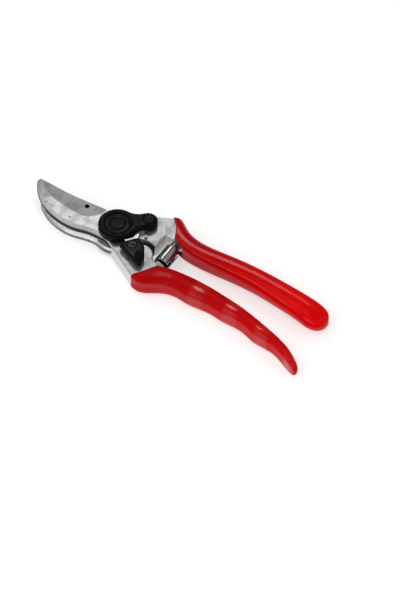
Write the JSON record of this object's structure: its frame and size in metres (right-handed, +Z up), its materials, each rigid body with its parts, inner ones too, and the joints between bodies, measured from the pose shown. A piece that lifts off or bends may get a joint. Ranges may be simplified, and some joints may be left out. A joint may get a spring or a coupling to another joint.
{
  "type": "pruning shears",
  "caption": "Bypass pruning shears with a curved blade, a hooked counter blade, red coated handles, a return spring between them and a thumb catch that holds them shut",
  "frame": {"origin": "on the pivot axis, at the middle of the bolt head's flat back, where the shears lie on a table", "axes": "+X toward the grip ends and the jaws at -X, +Z up along the pivot axis, +Y toward the hook handle"},
  "size_m": [0.2198, 0.0637, 0.0187],
  "materials": {
    "red_vinyl": "glossy dipped vinyl",
    "forged_alloy": "satin, forged and tumbled",
    "blade_steel": "ground",
    "hook_steel": "ground",
    "rivet_steel": "plain",
    "bolt_steel": "zinc plated",
    "bush_bronze": "turned",
    "segment_steel": "stamped",
    "cover_plastic": "satin black",
    "catch_plastic": "satin black",
    "catch_steel": "plain",
    "screw_steel": "blackened",
    "bumper_rubber": "matt",
    "stud_steel": "plain",
    "spring_steel": "bright spring strip"
  },
  "bodies": {
    "hook_side": {"hook_handle": "forged_alloy", "hook_grip": "red_vinyl", "counter_blade": "hook_steel", "counter_blade_rivets": "rivet_steel", "pivot_bolt": "bolt_steel", "pivot_washer": "bolt_steel", "pivot_nut": "bolt_steel", "lock_segment": "segment_steel", "segment_screw": "segment_steel", "pivot_cover": "cover_plastic", "strike_pin": "rivet_steel", "return_spring": "spring_steel"},
    "blade_side": {"blade_handle": "forged_alloy", "blade_grip": "red_vinyl", "cutting_blade": "blade_steel", "blade_rivets": "rivet_steel", "pivot_bush": "bush_bronze", "rubber_bumper": "bumper_rubber", "bumper_studs": "stud_steel", "catch_screw": "screw_steel", "catch_washer": "screw_steel"},
    "catch": {"thumb_catch": "catch_plastic", "catch_plate": "catch_steel"}
  },
  "joints": [
    {"name": "jaw_pivot", "type": "hinge", "parent": "hook_side", "child": "blade_side", "pos_m": [0, 0, 0.0075], "axis": [0, 0, -1], "range_deg": [0, 34], "stiffness_Nm_per_rad": 0.8, "springref_deg": 42.97, "deforming": ["return_spring"]},
    {"name": "catch_pivot", "type": "hinge", "parent": "blade_side", "child": "catch", "pos_m": [0.0172, -0.0093, 0.015], "axis": [0, 0, -1], "range_deg": [0, 15]}
  ]
}
